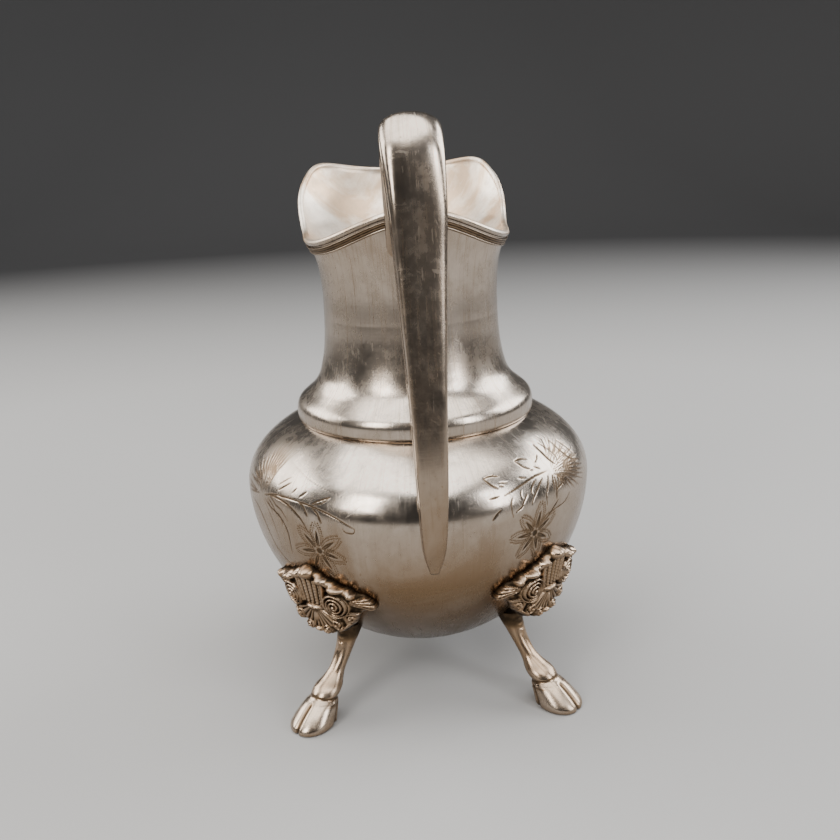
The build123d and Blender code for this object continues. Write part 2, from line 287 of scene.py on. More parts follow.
def satin_silver(name):
    """The pale matt plate inside the mouth, with a tan stain where cream has dried."""
    m = Nodes(name)
    plain = m.stretched((1, 1, 1))
    broad = m.noise(plain, 44.0, 6.0, 0.65, 1.4)
    fine = m.noise(plain, 480.0, 6.0, 0.7)
    colour = m.mix(m.ramp(broad, 0.42, 0.6, 0.0, 0.9), SATIN_LIGHT, SATIN_STAIN)
    colour = m.mix(m.ramp(fine, 0.5, 0.78, 0.0, 0.4), colour, SILVER_DULL)
    bump = m.new("ShaderNodeBump", {"Strength": 0.15, "Distance": 0.0002, "Height": fine})
    m.link(colour, "Base Color")
    m.link(m.ramp(fine, 0.3, 0.8, 0.34, 0.5), "Roughness")
    m.link(bump.outputs[0], "Normal")
    m.shader.inputs["Metallic"].default_value = 1.0
    return m.material


# ---------------- bulb and its engraving


def bulb_line():
    """The bulb's outer line, from its floor's edge to its hole: radius, height, distance along."""
    theta = np.linspace(0, math.pi / 2, 900)
    low_radius = BODY_RADIUS * np.cos(theta) ** (2 / BOWL_POWER)
    low = np.stack([low_radius, EQUATOR_Z - BOWL_DROP * np.sin(theta) ** (2 / BOWL_POWER)], -1)
    high_radius = BODY_RADIUS * np.cos(theta) ** (2 / SHOULDER_POWER)
    high = np.stack([high_radius, EQUATOR_Z + SHOULDER_RISE * np.sin(theta) ** (2 / SHOULDER_POWER)], -1)
    low = low[low[:, 0] >= FLOOR_RADIUS][::-1]
    high = high[high[:, 0] >= SHOULDER_HOLE_RADIUS]
    line = np.concatenate([low[:-1], high])
    along = np.concatenate([[0], np.cumsum(np.linalg.norm(np.diff(line, axis=0), axis=1))])
    along -= np.interp(EQUATOR_Z, line[:, 1], along)
    return line[:, 0], line[:, 1], along


BULB_R, BULB_Z, BULB_S = bulb_line()


def bulb_at(s):
    """Radius and height at a distance along the bulb from its widest line."""
    return np.interp(s, BULB_S, BULB_R), np.interp(s, BULB_S, BULB_Z)


def bulb_surface(azimuth_deg, z):
    """Points on the bulb at azimuths and heights."""
    radius = np.interp(z, BULB_Z, BULB_R)
    return round_points(radius, np.radians(azimuth_deg), np.asarray(z, float))


# Millimetres along the bulb for each degree of azimuth, and for each millimetre of height
STRETCH = np.array([0.73, 1.0])
CUT_SPACING, CUT_DEPTH = 0.12, 0.11
PETALS, EYE_DOTS = 7, 12
# Places on a petal's cut wedge: share of its length, and millimetres aside
WEDGE = ((0.14, 0.1), (0.36, 0.24), (0.7, 0.02))


class Graver:
    """Collects cuts on the bulb: places, half widths and depths, all in millimetres."""

    def __init__(self, mirror=False, front=False):
        self.mirror, self.front = mirror, front
        self.samples = []

    def place(self, azimuth, z):
        azimuth = -azimuth if self.mirror else azimuth
        azimuth = 180 - azimuth if self.front else azimuth
        return bulb_surface(azimuth, z)

    def stroke(self, points, width=0.2, depth=1.0):
        """A cut through points given as azimuth and height, thinner at its ends."""
        line = through(points, 30 * len(points))
        spaced = evenly(np.concatenate([line * STRETCH, line], 1), CUT_SPACING)[:, 2:]
        swell = np.sin(np.pi * np.linspace(0, 1, len(spaced))) ** 0.5
        for (azimuth, z), part in zip(spaced, swell):
            cut = (width * (0.45 + 0.55 * part), depth * (0.5 + 0.5 * part))
            self.samples.append((*self.place(azimuth, z), *cut))

    def dot(self, azimuth, z, width, depth):
        self.samples.append((*self.place(azimuth, z), width, depth))


def local_to_surface(centre, x, y):
    """Millimetres across and up from a place on the bulb, as azimuth and height."""
    return centre[0] + np.degrees(x / BODY_RADIUS), centre[1] + y


def leaf(graver, base, tip, width, barbs):
    """A narrow solid leaf: a bold edge, a bowed far edge and slanting barbs between them."""
    base, tip = np.array(base, float), np.array(tip, float)
    span = (tip - base) * STRETCH
    length = np.hypot(*span)
    along = span / length
    aside = np.array([-along[1], along[0]])
    bowed = [
        base + (along * length * t + aside * width * math.sin(math.pi * t)) / STRETCH
        for t in (0, 0.3, 0.65, 1)
    ]
    graver.stroke(bowed, 0.16, 0.8)
    graver.stroke([base, (base + tip) / 2 - aside * width * 0.2 / STRETCH, tip], 0.22, 1.2)
    for k in range(1, barbs + 1):
        t = k / (barbs + 1.0)
        root = base + along * length * t / STRETCH
        reach = width * 0.9 * math.sin(math.pi * t)
        graver.stroke([root, root + (along * reach * 0.7 + aside * reach) / STRETCH], 0.14, 0.7)


def open_leaf(graver, tip, upper, lower, dashes):
    """A leaf left open at its root: two bold bowed strokes, and short dashes in its mouth."""
    for end, bow in ((upper, 0.25), (lower, -0.3)):
        middle = ((tip[0] + end[0]) / 2, (tip[1] + end[1]) / 2 + bow)
        graver.stroke([tip, middle, end], 0.26, 1.15)
    for dash in dashes:
        graver.stroke(dash, 0.19, 0.9)


def flower(graver, centre, reach, turn, seed):
    """A star flower: petals in double rows of punched dots, each with a cut wedge, round an eye."""
    random = np.random.default_rng(seed)

    def dot(place, width, depth):
        graver.dot(*local_to_surface(centre, *place), width, depth)

    for k in range(PETALS):
        direction = math.radians(turn + 360.0 * k / PETALS + random.uniform(-4, 4))
        length = reach * random.uniform(0.9, 1.06)
        half = reach * 0.135
        along = np.array([math.cos(direction), math.sin(direction)])
        aside = np.array([-along[1], along[0]])
        for side in (-1, 1):
            for t in np.linspace(0.2, 1.0, 14):
                bow = half * math.sin(math.pi * t**1.1) + 0.03 * random.standard_normal()
                dot(along * length * t + aside * side * bow, 0.2, 1.0)
                if t < 0.95:
                    outer = along * length * (t + 0.03) + aside * side * (bow + 0.46)
                    dot(outer, 0.2, 0.95)
                    dot(outer + aside * side * 0.22, 0.17, 0.8)
            wedge = [along * length * t + aside * side * off for t, off in WEDGE]
            graver.stroke([local_to_surface(centre, *place) for place in wedge], 0.24, 1.2)
        for _ in range(9):
            t, off = random.uniform(0.35, 0.95), random.uniform(-0.6, 0.6)
            dot(along * length * t + aside * off * half * math.sin(math.pi * t), 0.15, 0.6)
    for angle in 2 * math.pi * np.arange(EYE_DOTS) / EYE_DOTS:
        dot(0.55 * np.array([math.cos(angle), math.sin(angle)]), 0.3, 1.1)
    graver.dot(*centre, 0.7, 1.5)


def plume(graver, root, ends, bow, count):
    """Feathery strokes that spread from a root between the first and last of its ends."""
    root = np.array(root)
    for k, end in enumerate(through(ends, count)):
        end = root + (end - root) * (1.0 if k % 2 == 0 else 0.72)
        middle = root * 0.5 + end * 0.5 + bow
        start = root + (middle - root) * 2 * (0.12 if k % 3 == 0 else 0.34)
        graver.stroke([start, middle, end], 0.16, 0.85)
        tip = end + (-1.6, 0.3)
        graver.stroke([middle, middle * 0.4 + tip * 0.6 + (0, 0.2), tip], 0.13, 0.65)
        graver.stroke([middle, middle + (end - middle) * 0.55 + (1.2, 0.5)], 0.13, 0.6)


def left_spray(graver):
    """The spray on the left flank: plume, knot, long stems, curl and star flower."""
    cut, knot = graver.stroke, (60.4, 54.3)
    stem = [knot, (54.8, 55.4), (47.5, 55.8), (40.3, 55.7), (34.1, 55.1), (28.4, 53.9), (22.6, 52.0)]
    cut(stem, 0.22, 1.2)
    cut([(22.6, 52.0), (23.2, 51.0), (25.6, 51.1), (26.4, 51.9)], 0.18, 0.9)
    cut([(59.4, 54.6), (54.7, 55.0), (47.6, 54.5), (41.8, 52.5), (38.4, 49.3)], 0.27, 1.2)
    cut([(60.0, 53.6), (57.1, 52.6), (50.9, 50.9), (47.9, 47.6), (48.3, 42.0)], 0.22, 1.2)
    cut([(60.8, 53.2), (57.6, 51.2), (55.0, 48.2), (53.6, 44.5)], 0.18, 0.8)
    cut([(71.6, 51.0), (66.0, 50.2), (61.9, 47.4), (59.6, 44.0), (57.4, 40.6)], 0.22, 1.2)
    cut([(57.6, 42.0), (55.0, 39.6), (51.6, 38.4), (49.8, 38.8)], 0.22)
    cut([(56.8, 54.8), (53.0, 53.4), (49.9, 52.6), (47.0, 50.5)], 0.2, 0.9)
    cut([(58.2, 54.2), (54.8, 52.9), (52.6, 51.3)], 0.2, 0.9)
    cut([(58.8, 53.9), (56.2, 52.4), (54.9, 50.8)], 0.18, 0.8)
    cut([(51.8, 51.8), (50.2, 50.0), (50.4, 48.6)], 0.16, 0.7)
    cut([(42.4, 55.6), (40.4, 54.9), (38.7, 53.2)], 0.26)
    cut([(41.6, 55.4), (39.9, 54.5), (38.4, 53.4)], 0.16, 0.7)
    cut([(37.2, 55.2), (35.0, 54.2), (33.6, 52.2)], 0.28)
    cut([(36.3, 55.0), (34.4, 53.8), (33.2, 52.4)], 0.16, 0.7)
    cut([(42.7, 56.7), (40.3, 58.0)], 0.24)
    cut([(53.0, 56.6), (50.2, 57.9), (48.1, 58.9)], 0.22)
    cut([(54.2, 57.4), (51.0, 59.0), (49.0, 59.8)], 0.18, 0.8)
    cut([(46.2, 57.0), (44.6, 58.3)], 0.18, 0.8)
    leaf(graver, (37.4, 56.0), (31.2, 57.9), 0.62, 4)
    cut([(55.1, 62.3), (47.0, 61.2), (41.5, 60.3), (33.9, 59.1), (26.6, 58.1)], 0.11, 0.35)
    ends = [(56.5, 63.6), (63.0, 65.4), (70.0, 64.6), (76.0, 61.0), (78.0, 55.6)]
    plume(graver, knot, ends, (-0.6, 0.6), 23)
    plume(graver, (62.0, 53.6), [(79.0, 54.0), (77.0, 51.8)], (-1.0, 0.4), 5)
    flower(graver, (35.5, 45.4), 7.4, 91.0, 3)


def right_spray(graver):
    """The spray on the right flank: open leaves above, branching stems and a star flower."""
    cut, knot = graver.stroke, (42.0, 58.7)
    cut([knot, (38.0, 58.7), (33.9, 58.5), (27.3, 57.6), (22.5, 56.8)], 0.22, 1.2)
    cut([(20.8, 56.9), (19.0, 56.8), (17.2, 56.7)], 0.22)
    dashes = ([(22.0, 59.3), (25.1, 59.0)], [(21.8, 58.8), (23.2, 58.6)])
    open_leaf(graver, (17.2, 60.5), (22.9, 60.4), (21.2, 58.4), dashes)
    dashes = ([(35.0, 59.9), (36.4, 59.8)], [(38.7, 60.8), (40.2, 61.2)], [(40.2, 61.1), (42.2, 61.9)])
    open_leaf(graver, (31.2, 62.1), (36.3, 61.8), (35.4, 60.1), dashes)
    cut([(29.4, 59.3), (32.1, 58.9)], 0.22)
    cut([(37.3, 60.3), (39.6, 59.5)], 0.24)
    cut([(44.6, 63.4), (45.3, 61.2), (46.6, 59.7), (47.6, 59.2)], 0.34, 1.4)
    cut([(47.6, 63.4), (49.6, 61.6), (50.2, 60.2), (49.0, 59.0)], 0.24, 1.1)
    cut([(48.6, 61.6), (49.0, 60.2), (48.2, 59.4)], 0.17, 0.8)
    cut([(54.4, 63.0), (54.8, 61.0), (57.2, 58.6), (60.0, 57.6)], 0.3, 1.3)
    cut([(58.4, 62.4), (60.4, 60.4), (61.6, 58.6), (60.8, 57.6)], 0.24, 1.1)
    cut([(57.0, 61.6), (58.6, 59.6), (60.2, 58.4)], 0.16, 0.8)
    cut([(41.4, 58.0), (39.6, 56.0), (38.0, 54.2), (37.7, 51.9)], 0.22, 1.2)
    cut([(43.4, 57.6), (42.6, 56.4), (42.0, 54.6)], 0.24)
    cut([(43.9, 57.4), (43.6, 55.8), (42.6, 53.4), (42.4, 52.2)], 0.22)
    cut([(45.5, 57.2), (45.4, 56.0), (44.2, 54.8)], 0.2)
    cut([(47.8, 56.6), (47.3, 55.3), (43.3, 54.4), (42.6, 52.6)], 0.22, 1.2)
    cut([(38.4, 57.8), (36.0, 56.8), (33.0, 55.0), (31.5, 53.5)], 0.26, 1.1)
    cut([(35.6, 58.0), (33.8, 57.4), (32.4, 56.2), (32.6, 55.4)], 0.22)
    cut([(30.4, 55.8), (28.4, 54.4), (27.7, 53.6), (25.4, 52.9)], 0.26, 1.1)
    cut([(25.4, 56.2), (24.2, 54.9), (24.1, 53.4), (24.4, 51.8)], 0.18, 0.8)
    cut([(20.6, 54.2), (19.0, 53.4), (17.5, 52.3)], 0.26, 1.1)
    cut([(28.9, 57.0), (28.2, 56.2), (28.6, 55.2)], 0.16, 0.8)
    cut([(43.4, 52.2), (40.6, 50.8), (38.3, 49.4), (36.6, 48.6)], 0.22, 1.2)
    cut([(50.4, 52.4), (46.7, 50.8), (42.0, 50.4), (38.6, 49.9)], 0.2, 0.9)
    ends = [(62.0, 52.6), (64.5, 55.2), (65.0, 58.0), (61.0, 62.0), (53.0, 64.4)]
    plume(graver, (43.0, 58.4), ends, (-0.6, 0.4), 21)
    plume(graver, (43.6, 58.0), [(48.0, 53.6), (53.0, 52.4), (59.0, 52.2)], (0.6, 0.6), 8)
    flower(graver, (32.8, 46.5), 6.9, 24.0, 5)


def engraving():
    """All cuts: both rear flanks as drawn, and the same sprays swapped on the front flanks."""
    samples = []
    for spray, mirror, front in (
        (left_spray, True, False),
        (right_spray, False, False),
        (left_spray, False, True),
        (right_spray, True, True),
    ):
        graver = Graver(mirror, front)
        spray(graver)
        samples += graver.samples
    return np.array(samples)


def cut_into(points, normals, samples):
    """Sinks the points along their normals into the cuts, and says how deep each one went."""
    tree = kdtree.KDTree(len(samples))
    for index, sample in enumerate(samples):
        tree.insert(sample[:3], index)
    tree.balance()
    depth = np.zeros(len(points))
    widest = samples[:, 3].max()
    for index, point in enumerate(points):
        for _, found, distance in tree.find_range(point, widest):
            width, strength = samples[found, 3:]
            if distance < width:
                depth[index] = max(depth[index], strength * (1 - (distance / width) ** 2))
    return points - normals * (CUT_DEPTH * depth)[:, None], depth


def bulb_columns():
    """Azimuths in degrees, close together over the engraved flanks."""
    fine, coarse = np.arange(14.0, 76.0, 0.28), np.arange(-13.0, 14.0, 1.5)
    sides = np.arange(76.0, 104.0, 1.5)
    rear, front = [coarse, fine, sides, 180 - fine[::-1]], [180 + coarse, 180 + fine, 180 + sides]
    return np.radians(np.unique(np.round(np.concatenate([*rear, *front, 360 - fine[::-1]]) % 360, 3)))


def profile_normals(line):
    """Outward normals, as radius and height, of a line that runs upwards on the outside."""
    slope = np.gradient(line, axis=0)
    normal = np.stack([slope[:, 1], -slope[:, 0]], -1)
    return normal / np.linalg.norm(normal, axis=1)[:, None]


def spin(line, azimuths):
    """Points of a line (radius, height) turned round the axis, a row for each of its points."""
    return np.concatenate([round_points(radius, azimuths, z) for radius, z in line])


def make_bulb(material):
    columns = bulb_columns()
    samples = engraving()
    fine, coarse = 0.2, 1.1
    split_low, split_high = -15.5, 15.0
    s_low, s_high = BULB_S[0], BULB_S[-1]
    for name, start, low, high, stop in (
        ("body_shoulder", 0.0, 0.0, split_high, s_high),
        ("body_lower_bowl", s_low, split_low, 0.0, 0.0),
    ):
        ranges = ((start, low, coarse), (low, high, fine), (high, stop, coarse))
        s = np.unique(np.round(np.concatenate([*(np.arange(*three) for three in ranges), [stop]]), 4))
        outside = np.stack(bulb_at(s), -1)
        normals = profile_normals(outside)
        thin = np.concatenate([outside[: -1 : max(1, len(outside) // 22)], outside[-1:]])
        inside = thin - profile_normals(thin) * BODY_WALL
        joint = (BODY_RADIUS - BODY_WALL, EQUATOR_Z)
        if name == "body_lower_bowl":
            inside[-1] = joint
            floor_z = outside[0, 1]
            kicked = floor_z + FLOOR_KICK
            ring = (FLOOR_RADIUS - 1.6, floor_z + 0.1)
            under = np.array([(0.02, kicked), (7.0, floor_z + 0.7), ring, outside[0]])
            within = np.array([inside[0], inside[0] - (2, 0.2), (0.02, kicked + BODY_WALL)])
            strips = [under, outside, np.array([outside[-1], joint]), inside[::-1], within]
            first = len(under)
        else:
            inside[0] = joint
            hole, seam = np.array([outside[-1], inside[-1]]), np.array([joint, outside[0]])
            strips = [outside, hole, inside[::-1], seam]
            first = 0
        points = spin(np.concatenate(strips), columns)
        count = len(columns)
        rows = slice(first * count, (first + len(outside)) * count)
        turned = np.concatenate([round_points(n[0], columns, n[1]) for n in normals])
        depth = np.zeros(len(points))
        points[rows], depth[rows] = cut_into(points[rows], turned, samples)
        stain = np.zeros(len(points))
        stain[rows] = softened(depth[rows].reshape(-1, count), 4).ravel()
        faces = strip_faces([len(strip) for strip in strips], count)
        shades = {"depth": depth, "stain": stain}
        make_piece(name + "_plate", points, faces, [name], material, shades)


# ---------------- neck, mouth and rim

COLLAR_LINE = ((28.75, 67.0), (29.0, 67.6), (29.05, 69.2), (28.95, 70.2), (28.55, 71.2), (27.8, 72.1),
               (26.1, 73.5), (24.7, 74.8), (23.6, 76.3), (22.75, 78.2), (21.8, 82.0), (21.2, 86.5),
               (20.95, 91.0))
# Round sections of the mouth: height, radius, and how far the centre has moved towards the spout
MOUTH_SECTIONS = ((91.0, 20.95, 0.0), (97.0, 20.9, 0.0), (103.0, 21.45, 0.1), (106.5, 22.5, 0.6),
                  (109.5, 24.4, 1.9), (112.0, 26.0, 3.2), (117.0, 28.3, 5.3), (122.0, 29.6, 6.6),
                  (128.0, 31.0, 7.9))
# The rim seen from the side: distance towards the spout, and height
RIM_WAVE = ((-27.0, 120.5), (-20.0, 112.7), (-12.0, 109.3), (-2.0, 108.8), (7.0, 110.5), (15.0, 115.5),
            (23.0, 122.0), (30.5, 125.7), (40.0, 122.8))
LIP_WALL, LIP_ROUND = 1.0, 0.82

WAVE = through(RIM_WAVE, 400)
MOUTH = through(MOUTH_SECTIONS, 500)


def mouth_point(azimuth, z):
    """A point of the mouth's outer surface at an azimuth round the section's own centre."""
    radius = np.interp(z, MOUTH[:, 0], MOUTH[:, 1])
    forward = np.interp(z, MOUTH[:, 0], MOUTH[:, 2])
    y = forward - radius * np.cos(azimuth)
    return np.stack([radius * np.sin(azimuth), y, z + 0 * azimuth], -1)


def rim_height(azimuth):
    """Where the mouth's surface meets the wave, for each azimuth."""
    low, high = np.full(len(azimuth), 100.0), np.full(len(azimuth), 128.0)
    for _ in range(40):
        middle = (low + high) / 2
        y = mouth_point(azimuth, middle)[:, 1]
        above = middle > np.interp(y, WAVE[:, 0], WAVE[:, 1])
        high, low = np.where(above, middle, high), np.where(above, low, middle)
    return (low + high) / 2


def grid_normals(grid):
    """Outward normals of a grid of points whose rows run up and whose columns run round."""
    up = np.gradient(grid, axis=0)
    around = np.roll(grid, -1, axis=1) - np.roll(grid, 1, axis=1)
    normal = np.cross(around, up)
    return normal / np.maximum(np.linalg.norm(normal, axis=2), 1e-9)[..., None]


NECK_ROWS, NECK_COLUMNS, COLLAR_STEP = 90, 360, 0.35


def neck_grid():
    """The neck's outer surface from the waist to the rim: rows up, columns round."""
    azimuth = np.linspace(0, 2 * math.pi, NECK_COLUMNS, endpoint=False)
    rim = rim_height(azimuth)
    share = np.linspace(0, 1, NECK_ROWS)[:, None]
    heights = MOUTH_SECTIONS[0][0] + (rim[None, :] - MOUTH_SECTIONS[0][0]) * share
    return np.stack([mouth_point(azimuth, row) for row in heights])


def make_neck(material, satin):
    upper = neck_grid()
    azimuth = np.linspace(0, 2 * math.pi, NECK_COLUMNS, endpoint=False)
    collar = evenly(through(COLLAR_LINE, 200), COLLAR_STEP)
    lower = np.stack([round_points(radius, azimuth, z) for radius, z in collar[:-1]])
    outside = np.concatenate([lower, upper])
    normals = grid_normals(outside)
    inside = (outside - normals * LIP_WALL)[::-2]
    up = outside[-1] - outside[-3]
    up /= np.linalg.norm(up, axis=1)[:, None]
    middle = outside[-1] - normals[-1] * LIP_WALL / 2
    angles = np.linspace(-0.9, math.pi + 0.6, 16)
    turns = [normals[-1] * math.cos(angle) + up * math.sin(angle) for angle in angles]
    roll = [middle + turned * LIP_ROUND for turned in turns]
    wall = np.concatenate([outside[:-1], np.stack(roll), inside[1:]])
    strips = [wall, np.stack([inside[-1], outside[0]])]
    faces = strip_faces([len(strip) for strip in strips], NECK_COLUMNS)
    points = np.concatenate(strips).reshape(-1, 3)
    piece = make_piece("neck_plate", points, faces, ["neck"], material)
    piece.data.materials.append(satin)
    rows = np.zeros(len(faces), np.int32)
    rows[(len(outside) + len(roll) // 5) * NECK_COLUMNS :] = 1
    piece.data.polygons.foreach_set("material_index", rows)


# Two reeds between two beads: distance below the rim, and how far each point stands out
MOULDING_LINE = ((0.9, 0.0), (0.92, 0.42), (1.02, 0.58), (1.14, 0.58), (1.24, 0.40), (1.36, 0.50),
                 (1.5, 0.53), (1.64, 0.50), (1.76, 0.38), (1.88, 0.50), (2.02, 0.53), (2.16, 0.50),
                 (2.28, 0.40), (2.36, 0.56), (2.52, 0.62), (2.68, 0.54), (2.78, 0.0))
MOULDING_STEP, MOULDING_SINK = 0.07, 0.05


def make_moulding(material):
    surface = neck_grid()
    normals = grid_normals(surface)
    along = np.zeros(surface.shape[:2])
    along[1:] = np.cumsum(np.linalg.norm(np.diff(surface, axis=0), axis=2), axis=0)
    rows = []
    line = evenly(MOULDING_LINE, MOULDING_STEP)
    for drop, out in line:
        row = np.zeros((NECK_COLUMNS, 3))
        for c in range(NECK_COLUMNS):
            at = along[-1, c] - drop
            place = np.array([np.interp(at, along[:, c], surface[:, c, k]) for k in range(3)])
            normal = np.array([np.interp(at, along[:, c], normals[:, c, k]) for k in range(3)])
            row[c] = place + normal / np.linalg.norm(normal) * (out - MOULDING_SINK)
        rows.append(row)
    grid = np.stack([*rows, rows[0]])
    # Darkness for the tarnish colours: patina and painted shade in each groove between the reeds, and
    # painted shade over the whole strip, which faces slightly down.
    groove_tarnish_and_shade = 0.15 + 0.85 * smooth_step(0.60, 0.44, line[:, 1]) * (line[:, 1] > 0.1)
    values = np.repeat([*groove_tarnish_and_shade, groove_tarnish_and_shade[0]], NECK_COLUMNS)
    faces = grid_faces(len(grid), NECK_COLUMNS)[:, ::-1]
    points, nodes = grid.reshape(-1, 3), ["rim_moulding"]
    make_piece("rim_moulding_strip", points, faces, nodes, material, {"depth": values})


# ---------------- handle

# The handle seen from the side: distance towards the spout, and height
HANDLE_OUTER = ((-22.6, 116.4), (-25.6, 127.8), (-31.0, 134.7), (-37.0, 130.6), (-39.9, 120.0),
                (-40.9, 107.0), (-43.3, 88.0), (-46.4, 64.0), (-45.2, 51.0), (-41.9, 41.6))
HANDLE_INNER = ((-21.7, 106.0), (-28.0, 118.0), (-31.2, 127.2), (-33.9, 123.5), (-35.1, 115.0),
                (-36.4, 104.0), (-38.9, 88.0), (-42.6, 64.0), (-42.0, 51.0), (-40.4, 42.0))
# Half of its width: height and half width
HANDLE_HALF_WIDTHS = ((131.0, 6.3), (126.0, 6.1), (113.0, 5.45), (104.0, 4.95), (94.0, 4.5), (84.0, 4.0),
                      (74.0, 3.55), (62.0, 3.15), (53.0, 2.8), (48.0, 2.45), (45.0, 1.95), (42.5, 1.2),
                      (41.0, 0.8))
HANDLE_ROWS, SEAM_GAP = 260, 0.05
# The handle has been knocked a little out of line, so its face turns away from its left side
HANDLE_TWIST, HANDLE_OFFSET = math.radians(9), 0.4


def handle_section(side, crown):
    """Half of the handle's section as shares of the half width and of the half thickness.

    The outer half is domed at the crown, and below it has a flatter face with rolled edges.
    """
    angle = np.linspace(0, math.pi, 48)
    bow, swell = (0.5 + 0.42 * crown, 0.4 + 0.6 * crown) if side > 0 else (0.42, 0.4)
    across = np.sign(np.cos(angle)) * np.abs(np.cos(angle)) ** bow
    return across, np.abs(np.sin(angle)) ** swell


def make_handle(material):
    outer, inner = through(HANDLE_OUTER, HANDLE_ROWS), through(HANDLE_INNER, HANDLE_ROWS)
    widths = np.array(HANDLE_HALF_WIDTHS[::-1])
    middle, reach = (outer + inner) / 2, (outer - inner) / 2
    half = np.interp(middle[:, 1] + reach[:, 1] * 0.5, widths[:, 0], widths[:, 1])
    seam = middle + reach * 0.1
    steps = np.linspace(0, 1, len(middle))
    crown = smooth_step(0.5, 0.27, steps)
    twist = HANDLE_TWIST * smooth_step(0.0, 0.25, steps) * smooth_step(1.0, 0.93, steps)
    for name, side in (("handle_outer_shell", 1), ("handle_inner_shell", -1)):
        edge = outer if side > 0 else inner
        rows = []
        for k, span in enumerate(edge - seam):
            across, share = handle_section(side, crown[k])
            start = seam[k] + SEAM_GAP * span / np.linalg.norm(span)
            y = start[0] + span[0] * share - middle[k, 0]
            x = half[k] * across
            cosine, sine = math.cos(twist[k]), math.sin(twist[k])
            turned_x = x * cosine - y * sine - HANDLE_OFFSET * crown[k]
            turned_y = middle[k, 0] + x * sine + y * cosine
            rows.append(np.column_stack([turned_x, turned_y, start[1] + span[1] * share]))
        grid = np.stack(rows)
        columns = grid.shape[1]
        faces = grid_faces(len(grid), columns)
        if side > 0:
            faces = faces[:, ::-1]
        last = (len(grid) - 1) * columns
        faces = [*faces, range(columns), range(last, last + columns)[::-1]]
        make_piece(name + "_plate", grid.reshape(-1, 3), faces, [name], material)


# ---------------- legs

LEG_AZIMUTHS = {"rear_left": -43.0, "rear_right": 43.0, "front_right": 137.0, "front_left": -137.0}
# Leg sections: height, distance from the axis, half length, half width, and how square the section is
LEG_SECTIONS = ((0.0, 42.7, 5.2, 4.5, 0.9), (0.5, 42.8, 5.6, 4.85, 0.9), (1.5, 42.6, 5.55, 4.9, 0.9),
                (3.0, 41.4, 4.9, 4.5, 0.92), (4.6, 39.9, 4.0, 3.9, 0.95), (5.2, 39.3, 3.5, 3.5, 1.0),
                (5.7, 38.9, 3.1, 3.15, 1.0), (6.4, 38.2, 3.35, 3.4, 1.0), (7.6, 37.0, 3.3, 3.2, 1.0),
                (9.0, 35.4, 2.5, 2.4, 1.0), (10.6, 33.8, 1.95, 1.85, 0.9),
                (13.0, 32.0, 1.85, 1.95, 0.85), (15.6, 30.4, 2.1, 2.2, 0.8),
                (18.2, 29.0, 2.6, 2.65, 0.8), (20.6, 28.2, 3.1, 3.1, 0.8))
LEG_COLUMNS, LEG_ROWS = 72, 150
# How far a leg's top goes into the bulb's wall
LEG_SINK = 0.5


def make_leg(place, azimuth, material):
    columns, rows = LEG_COLUMNS, LEG_ROWS
    lines = through(LEG_SECTIONS, rows)
    around = np.linspace(0, 2 * math.pi, columns, endpoint=False)
    turn = math.radians(azimuth)
    outwards = np.array([math.sin(turn), -math.cos(turn), 0])
    aside = np.array([math.cos(turn), math.sin(turn), 0])
    grid, depth = [], []
    for z, radius, length, width, square in lines:
        c, s = np.cos(around), np.sin(around)
        a = np.sign(c) * np.abs(c) ** square * length
        b = np.sign(s) * np.abs(s) ** square * width
        hoof = 1 - smooth_step(4.4, 5.4, z)
        split = np.exp(-((b / 0.42) ** 2)) * (c > 0) * hoof * smooth_step(0.35, 0.8, c)
        heel = np.exp(-(((c + 0.45) / 0.09) ** 2)) * hoof
        groove = np.exp(-(((z - 5.65 - 0.5 * c) / 0.28) ** 2))
        crease = np.exp(-(((z - 4.5 - 0.3 * c) / 0.2) ** 2)) * smooth_step(0.75, 0.2, c)
        sunk = split + 0.35 * heel + 0.12 * groove + 0.16 * crease
        spread = 0.55 + 0.22 * max(z - 15.0, 0.0)
        tongue = 0.6 * smooth_step(14.4, 15.8, z) * np.exp(-((b / spread) ** 2)) * (c > 0)
        sunk = sunk - tongue * (0.7 + 0.3 * math.cos(2 * math.pi * z / 1.15))
        scale = 1 - sunk / length * 0.8
        tilt = 0.10 * a * smooth_step(0.5, 5.0, z) * (1 - smooth_step(9.0, 14.0, z))
        points = (radius + a * scale)[:, None] * outwards + (b * (1 - 0.1 * heel))[:, None] * aside
        points[:, 2] = z + tilt
        reach = np.hypot(points[:, 0], points[:, 1])
        wall = np.interp(points[:, 2], BULB_Z, BULB_R) - LEG_SINK
        points[:, :2] *= (np.maximum(reach, wall) / reach)[:, None]
        grid.append(points)
        # Darkness for the tarnish colours: patina and painted shade in the hoof's split, heel, groove
        # and crease, and painted shade over the leg's top, under the knee ornament.
        shade = split + 0.8 * heel + 0.7 * groove + 0.5 * crease + 0.9 * smooth_step(15.5, 18.5, z)
        depth.append(np.clip(shade, 0, 1))
    grid = np.stack(grid)
    faces = list(grid_faces(rows, columns))
    faces += [range(columns)[::-1], range((rows - 1) * columns, rows * columns)]
    node, points, shades = f"leg_{place}", grid.reshape(-1, 3), {"depth": np.concatenate(depth)}
    make_piece(node + "_casting", points, faces, [node], material, shades)


# ---------------- knee ornaments

MASK_FOOT, MASK_TOP = (38.4, 20.0), (42.4, 41.0)
# One ornament was soldered on a little off the middle of its leg, in degrees
ORNAMENT_SLIP = {"rear_left": 1.2}
CAST_STEP, CAST_BEND_RADIUS, EDGE_ROUNDING = 0.16, 41.0, 1.25
